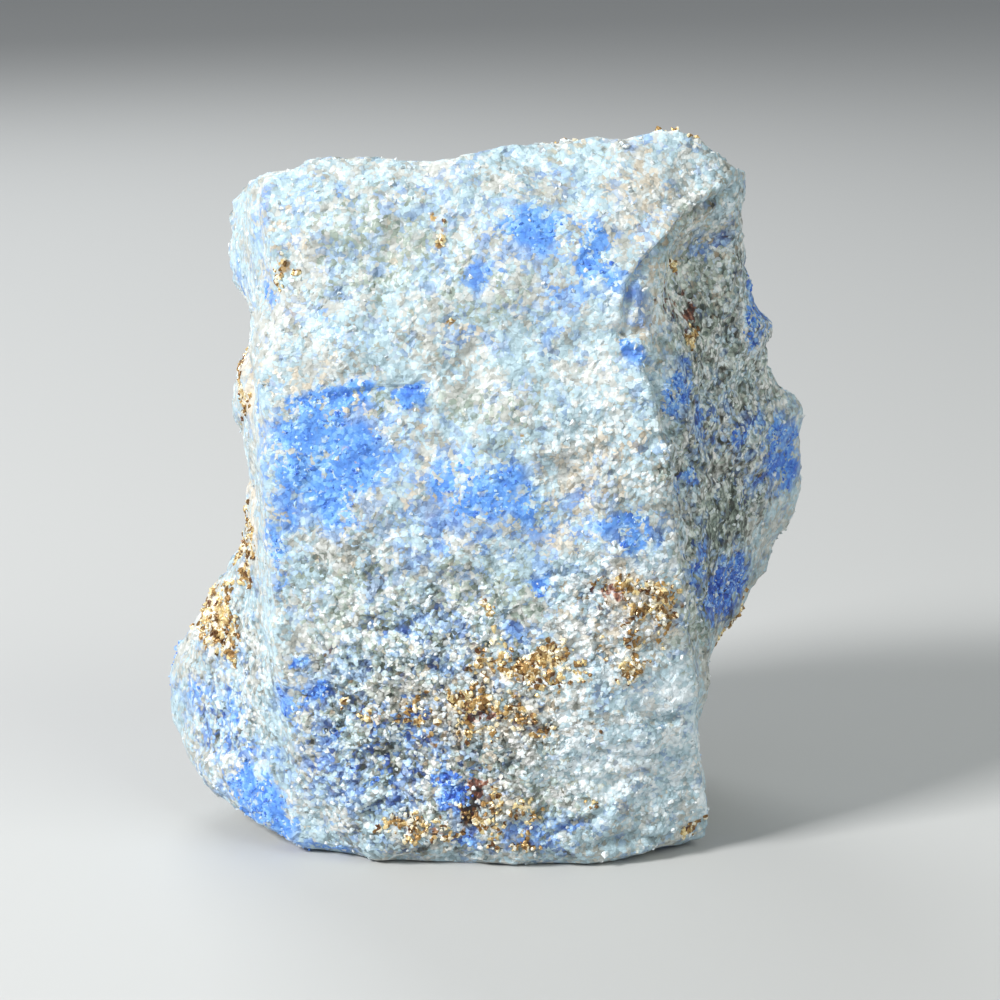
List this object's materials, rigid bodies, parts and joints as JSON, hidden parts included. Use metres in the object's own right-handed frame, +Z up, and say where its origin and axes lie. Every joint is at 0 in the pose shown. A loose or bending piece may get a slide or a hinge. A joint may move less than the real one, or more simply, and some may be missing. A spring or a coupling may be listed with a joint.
{
  "type": "raw lapis lazuli chunk",
  "caption": "Rough broken chunk of lapis lazuli rock, blue and grey-white with brassy pyrite, that stands on a flat patch of its underside.",
  "frame": {"origin": "a point near the middle of the flat patch that the chunk stands on, on the table plane", "axes": "+Z up along the chunk's height, -Y out of the broad front face, +X to the right seen from the front"},
  "size_m": [0.0558, 0.0348, 0.0602],
  "materials": {
    "lapis_lazuli": "rough, granular broken rock: blue lazurite, white and grey-green calcite and diopside"
  },
  "bodies": {
    "root": {"lapis_chunk": "lapis_lazuli"}
  },
  "joints": []
}
